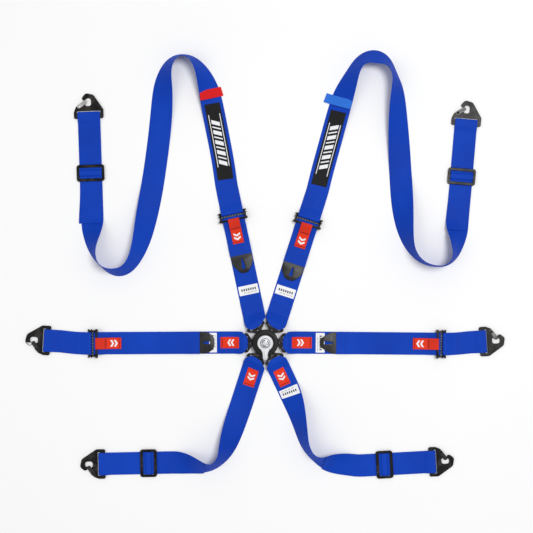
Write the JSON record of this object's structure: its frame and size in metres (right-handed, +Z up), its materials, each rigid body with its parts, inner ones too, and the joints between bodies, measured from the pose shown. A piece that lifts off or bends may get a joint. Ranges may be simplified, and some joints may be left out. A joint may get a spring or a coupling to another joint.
{
  "type": "racing harness",
  "caption": "Six point racing harness laid flat: rotary cam lock buckle, adjustable shoulder and lap belts, leg straps, snap hooks",
  "frame": {"origin": "centre of the buckle's flat underside, on the surface the harness lies on", "axes": "+X towards the lap belt on the right, +Y towards the shoulder belts, +Z up from the surface"},
  "size_m": [1.072, 0.956, 0.05],
  "materials": {
    "webbing": "woven polyester webbing",
    "pull_tab_webbing": "woven red tab",
    "thumb_tab": "moulded rubbery plastic",
    "black_steel": "satin black coated steel",
    "gate_steel": "zinc plated",
    "plated_steel": "zinc plated",
    "lever_alloy": "satin cast",
    "badge": "glossy",
    "buckle_black": "satin black"
  },
  "bodies": {
    "buckle": {"buckle_base": "buckle_black", "buckle_housing": "buckle_black", "buckle_cover": "buckle_black", "buckle_screws": "plated_steel", "fixed_tongue_rivet": "plated_steel", "release_spring": "plated_steel", "tongue_lap_left": "black_steel", "webbing_near_lap_left": "webbing", "thumb_tab_lap_left": "thumb_tab", "webbing_far_lap_left": "webbing"},
    "lever": {"lever": "lever_alloy", "lever_badge": "badge", "cam_rotor": "plated_steel"},
    "latch": {"release_plate": "plated_steel", "latch_pins": "plated_steel"},
    "belt_shoulder_left": {"tongue_shoulder_left": "black_steel", "webbing_near_shoulder_left": "webbing", "thumb_tab_shoulder_left": "thumb_tab", "webbing_far_shoulder_left": "webbing"},
    "belt_shoulder_right": {"tongue_shoulder_right": "black_steel", "webbing_near_shoulder_right": "webbing", "thumb_tab_shoulder_right": "thumb_tab", "webbing_far_shoulder_right": "webbing"},
    "belt_lap_right": {"tongue_lap_right": "black_steel", "webbing_near_lap_right": "webbing", "thumb_tab_lap_right": "thumb_tab", "webbing_far_lap_right": "webbing"},
    "belt_leg_left": {"tongue_leg_left": "black_steel", "webbing_leg_left": "webbing"},
    "belt_leg_right": {"tongue_leg_right": "black_steel", "webbing_leg_right": "webbing"},
    "adjuster_shoulder_left": {"adjuster_frame_shoulder_left": "black_steel", "lock_bar_shoulder_left": "plated_steel"},
    "pull_shoulder_left": {"pull_tab_shoulder_left": "pull_tab_webbing"},
    "adjuster_shoulder_right": {"adjuster_frame_shoulder_right": "black_steel", "lock_bar_shoulder_right": "plated_steel"},
    "pull_shoulder_right": {"pull_tab_shoulder_right": "pull_tab_webbing"},
    "adjuster_lap_left": {"adjuster_frame_lap_left": "black_steel", "lock_bar_lap_left": "plated_steel"},
    "pull_lap_left": {"pull_tab_lap_left": "pull_tab_webbing"},
    "adjuster_lap_right": {"adjuster_frame_lap_right": "black_steel", "lock_bar_lap_right": "plated_steel"},
    "pull_lap_right": {"pull_tab_lap_right": "pull_tab_webbing"},
    "slide_shoulder_left": {"slide_shoulder_left": "black_steel"},
    "slide_shoulder_right": {"slide_shoulder_right": "black_steel"},
    "slide_leg_left": {"slide_leg_left": "black_steel"},
    "slide_leg_right": {"slide_leg_right": "black_steel"},
    "hook_lap_right": {"snap_hook_lap_right": "black_steel"},
    "gate_lap_right": {"hook_gate_lap_right": "gate_steel"},
    "hook_shoulder_right": {"snap_hook_shoulder_right": "black_steel"},
    "gate_shoulder_right": {"hook_gate_shoulder_right": "gate_steel"},
    "hook_shoulder_left": {"snap_hook_shoulder_left": "black_steel"},
    "gate_shoulder_left": {"hook_gate_shoulder_left": "gate_steel"},
    "hook_lap_left": {"snap_hook_lap_left": "black_steel"},
    "gate_lap_left": {"hook_gate_lap_left": "gate_steel"},
    "hook_leg_left": {"snap_hook_leg_left": "black_steel"},
    "gate_leg_left": {"hook_gate_leg_left": "gate_steel"},
    "hook_leg_right": {"snap_hook_leg_right": "black_steel"},
    "gate_leg_right": {"hook_gate_leg_right": "gate_steel"}
  },
  "joints": [
    {"name": "lever_turn", "type": "hinge", "parent": "buckle", "child": "lever", "pos_m": [0, 0, 0.0243], "axis": [0, 0, -1], "range_deg": [0, 60]},
    {"name": "plate_drop", "type": "slide", "parent": "buckle", "child": "latch", "axis": [0, 0, -1], "range_m": [0, 0.003], "stiffness_N_per_m": 4000, "deforming": ["release_spring"]},
    {"name": "release_shoulder_left", "type": "slide", "parent": "buckle", "child": "belt_shoulder_left", "axis": [-0.5, 0.866, 0], "range_m": [0, 0.01201]},
    {"name": "release_shoulder_right", "type": "slide", "parent": "buckle", "child": "belt_shoulder_right", "axis": [0.5, 0.866, 0], "range_m": [0, 0.01201]},
    {"name": "release_lap_right", "type": "slide", "parent": "buckle", "child": "belt_lap_right", "axis": [1, 0, 0], "range_m": [0, 0.01201]},
    {"name": "release_leg_left", "type": "slide", "parent": "buckle", "child": "belt_leg_left", "axis": [-0.5, -0.866, 0], "range_m": [0, 0.01201]},
    {"name": "release_leg_right", "type": "slide", "parent": "buckle", "child": "belt_leg_right", "axis": [0.5, -0.866, 0], "range_m": [0, 0.01201]},
    {"name": "adjuster_tilt_shoulder_left", "type": "hinge", "parent": "belt_shoulder_left", "child": "adjuster_shoulder_left", "pos_m": [-0.07397, 0.29005, 0.0044], "axis": [-0.9781, -0.2079, 0], "range_deg": [0, 45], "deforming": ["webbing_near_shoulder_left"]},
    {"name": "pull_flip_shoulder_left", "type": "hinge", "parent": "adjuster_shoulder_left", "child": "pull_shoulder_left", "pos_m": [-0.07065, 0.2744, 0.013], "axis": [-0.9781, -0.2079, 0], "range_deg": [0, 120]},
    {"name": "adjuster_tilt_shoulder_right", "type": "hinge", "parent": "belt_shoulder_right", "child": "adjuster_shoulder_right", "pos_m": [0.09764, 0.27861, 0.0044], "axis": [-0.9527, 0.304, 0], "range_deg": [0, 45], "deforming": ["webbing_near_shoulder_right"]},
    {"name": "pull_flip_shoulder_right", "type": "hinge", "parent": "adjuster_shoulder_right", "child": "pull_shoulder_right", "pos_m": [0.09277, 0.26337, 0.013], "axis": [-0.9527, 0.304, 0], "range_deg": [0, 120]},
    {"name": "adjuster_tilt_lap_left", "type": "hinge", "parent": "buckle", "child": "adjuster_lap_left", "pos_m": [-0.392, -0.00185, 0.0044], "axis": [0.0052, -1, 0], "range_deg": [0, 45], "deforming": ["webbing_near_lap_left"]},
    {"name": "pull_flip_lap_left", "type": "hinge", "parent": "adjuster_lap_left", "child": "pull_lap_left", "pos_m": [-0.376, -0.00176, 0.013], "axis": [0.0052, -1, 0], "range_deg": [0, 120]},
    {"name": "adjuster_tilt_lap_right", "type": "hinge", "parent": "belt_lap_right", "child": "adjuster_lap_right", "pos_m": [0.39999, -0.00315, 0.0044], "axis": [0.0087, 1, 0], "range_deg": [0, 45], "deforming": ["webbing_near_lap_right"]},
    {"name": "pull_flip_lap_right", "type": "hinge", "parent": "adjuster_lap_right", "child": "pull_lap_right", "pos_m": [0.38399, -0.00301, 0.013], "axis": [0.0087, 1, 0], "range_deg": [0, 120]},
    {"name": "slide_travel_shoulder_left", "type": "slide", "parent": "belt_shoulder_left", "child": "slide_shoulder_left", "axis": [-0.0331, 0.9995, 0], "range_m": [-0.06, 0.07]},
    {"name": "slide_travel_shoulder_right", "type": "slide", "parent": "belt_shoulder_right", "child": "slide_shoulder_right", "axis": [0.0852, 0.9964, 0], "range_m": [-0.06, 0.06]},
    {"name": "slide_travel_leg_left", "type": "slide", "parent": "belt_leg_left", "child": "slide_leg_left", "axis": [-0.9998, -0.0202, 0], "range_m": [-0.03, 0.045]},
    {"name": "slide_travel_leg_right", "type": "slide", "parent": "belt_leg_right", "child": "slide_leg_right", "axis": [0.9985, 0.0546, 0], "range_m": [-0.03, 0.045]},
    {"name": "hook_tilt_lap_right", "type": "hinge", "parent": "belt_lap_right", "child": "hook_lap_right", "pos_m": [0.47653, 0.0014, 0.0014], "axis": [0.0594, -0.9982, 0], "range_deg": [0, 75], "deforming": ["webbing_far_lap_right"]},
    {"name": "gate_open_lap_right", "type": "hinge", "parent": "hook_lap_right", "child": "gate_lap_right", "pos_m": [0.50523, 0.02415, 0.005], "axis": [0, 0, -1], "range_deg": [0, 22], "stiffness_Nm_per_rad": 0.02},
    {"name": "hook_tilt_shoulder_right", "type": "hinge", "parent": "belt_shoulder_right", "child": "hook_shoulder_right", "pos_m": [0.44842, 0.48157, 0.0014], "axis": [0.9964, -0.0852, 0], "range_deg": [0, 75], "deforming": ["webbing_far_shoulder_right"]},
    {"name": "gate_open_shoulder_right", "type": "hinge", "parent": "hook_shoulder_right", "child": "gate_shoulder_right", "pos_m": [0.43006, 0.51325, 0.005], "axis": [0, 0, -1], "range_deg": [0, 22], "stiffness_Nm_per_rad": 0.02},
    {"name": "hook_tilt_shoulder_left", "type": "hinge", "parent": "belt_shoulder_left", "child": "hook_shoulder_left", "pos_m": [-0.39439, 0.49801, 0.0014], "axis": [0.9995, 0.0331, 0], "range_deg": [0, 75], "deforming": ["webbing_far_shoulder_left"]},
    {"name": "gate_open_shoulder_left", "type": "hinge", "parent": "hook_shoulder_left", "child": "gate_shoulder_left", "pos_m": [-0.41637, 0.5273, 0.005], "axis": [0, 0, -1], "range_deg": [0, 22], "stiffness_Nm_per_rad": 0.02},
    {"name": "hook_tilt_lap_left", "type": "hinge", "parent": "buckle", "child": "hook_lap_left", "pos_m": [-0.47754, 0.00378, 0.0014], "axis": [0.0657, 0.9978, 0], "range_deg": [0, 75], "deforming": ["webbing_far_lap_left"]},
    {"name": "gate_open_lap_left", "type": "hinge", "parent": "hook_lap_left", "child": "gate_lap_left", "pos_m": [-0.50885, -0.0152, 0.005], "axis": [0, 0, -1], "range_deg": [0, 22], "stiffness_Nm_per_rad": 0.02},
    {"name": "hook_tilt_leg_left", "type": "hinge", "parent": "belt_leg_left", "child": "hook_leg_left", "pos_m": [-0.3545, -0.27163, 0.0014], "axis": [-0.0202, 0.9998, 0], "range_deg": [0, 75], "deforming": ["webbing_leg_left"]},
    {"name": "gate_open_leg_left", "type": "hinge", "parent": "hook_leg_left", "child": "gate_leg_left", "pos_m": [-0.38407, -0.29323, 0.005], "axis": [0, 0, -1], "range_deg": [0, 22], "stiffness_Nm_per_rad": 0.02},
    {"name": "hook_tilt_leg_right", "type": "hinge", "parent": "belt_leg_right", "child": "hook_leg_right", "pos_m": [0.36323, -0.26751, 0.0014], "axis": [0.0546, -0.9985, 0], "range_deg": [0, 75], "deforming": ["webbing_leg_right"]},
    {"name": "gate_open_leg_right", "type": "hinge", "parent": "hook_leg_right", "child": "gate_leg_right", "pos_m": [0.39204, -0.2449, 0.005], "axis": [0, 0, -1], "range_deg": [0, 22], "stiffness_Nm_per_rad": 0.02}
  ],
  "couplings": [
    {"joint": "lever_turn", "follows": "plate_drop", "rad_per_m": 349},
    {"joint": "release_shoulder_left", "follows": "plate_drop", "ratio": 4},
    {"joint": "release_shoulder_right", "follows": "plate_drop", "ratio": 4},
    {"joint": "release_lap_right", "follows": "plate_drop", "ratio": 4},
    {"joint": "release_leg_left", "follows": "plate_drop", "ratio": 4},
    {"joint": "release_leg_right", "follows": "plate_drop", "ratio": 4}
  ]
}
